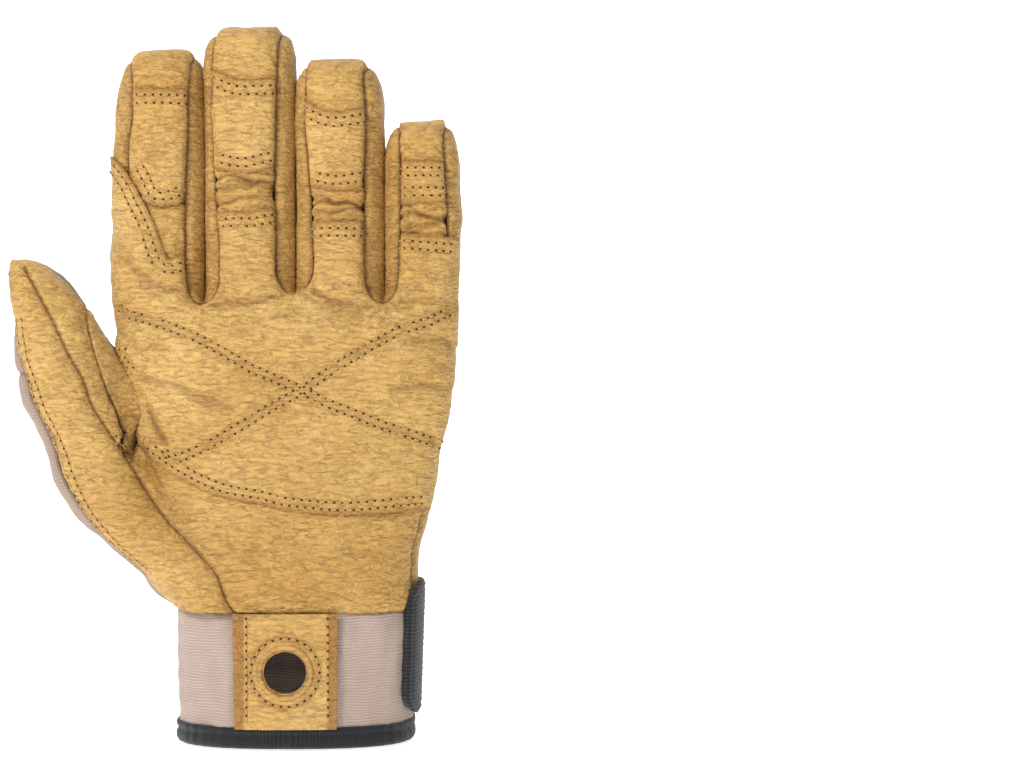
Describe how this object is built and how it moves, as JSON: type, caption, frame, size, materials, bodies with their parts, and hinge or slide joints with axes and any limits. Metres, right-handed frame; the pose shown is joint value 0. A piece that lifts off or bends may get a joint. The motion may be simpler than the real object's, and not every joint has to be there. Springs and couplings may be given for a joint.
{
  "type": "climbing glove",
  "caption": "Left-hand leather rope glove with quilted palm patch, elastic cuff, and a leather tab with a hanging hole; hollow and open at the wrist.",
  "frame": {"origin": "middle of the wrist opening, in the plane of the hem's lower edge", "axes": "+Z from the wrist to the fingertips, +X from the thumb to the little finger, the palm faces -Y"},
  "size_m": [0.1373, 0.0501, 0.2196],
  "materials": {
    "leather": "golden tan goatskin, fine grain, matt",
    "patch_leather": "golden tan leather with raw suede edges",
    "side_leather": "golden tan goatskin, fine grain, matt",
    "woven_cloth": "beige woven stretch cloth",
    "elastic_knit": "pinkish beige elastic knit",
    "binding_tape": "black woven binding, turned over the edge",
    "closure_strap": "black ribbed hook-and-loop strap"
  },
  "bodies": {
    "root": {"palm_panel": "leather", "thumb_outer": "leather", "thumb_inner": "leather", "thumb_web": "leather", "index_front": "leather", "index_back": "woven_cloth", "index_patch": "patch_leather", "middle_front": "leather", "middle_back": "woven_cloth", "middle_patch": "patch_leather", "ring_front": "leather", "ring_back": "woven_cloth", "ring_patch": "patch_leather", "little_front": "leather", "little_back": "woven_cloth", "little_patch": "patch_leather", "palm_patch": "patch_leather", "carabiner_tab": "patch_leather", "hole_ring": "patch_leather", "index_middle_side": "side_leather", "middle_ring_side": "side_leather", "ring_little_side": "side_leather", "index_side": "side_leather", "little_side": "side_leather", "back_panel": "woven_cloth", "thumb_back": "woven_cloth", "cuff_band": "elastic_knit", "hem_binding": "binding_tape", "closure_strap": "closure_strap", "closure_pad": "closure_strap"}
  },
  "joints": []
}
